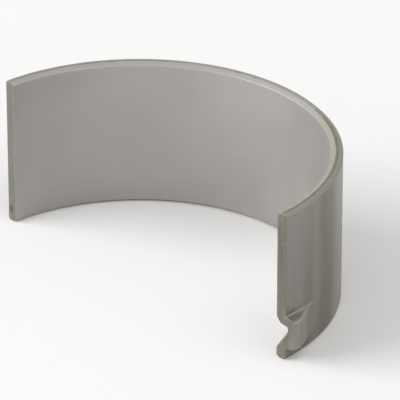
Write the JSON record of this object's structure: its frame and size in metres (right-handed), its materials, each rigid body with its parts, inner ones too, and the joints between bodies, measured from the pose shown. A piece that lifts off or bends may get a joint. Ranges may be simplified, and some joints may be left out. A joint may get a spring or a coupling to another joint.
{
  "type": "engine bearing shell",
  "caption": "Plain half-round bearing shell of lined steel with chamfered edges and a pressed locating lug at one joint face; carries a rotating journal in a split housing.",
  "frame": {"origin": "on the bore axis of the free shell, at mid-width", "axes": "+Z along the bore axis, up as the part stands; +Y to the crown of the half ring; +X to the end that carries the locating lug"},
  "size_m": [0.0855, 0.0401, 0.0324],
  "materials": {
    "shell_metal": "satin bore lining on a dull steel back"
  },
  "bodies": {
    "root": {"bearing_shell": "shell_metal"}
  },
  "joints": []
}
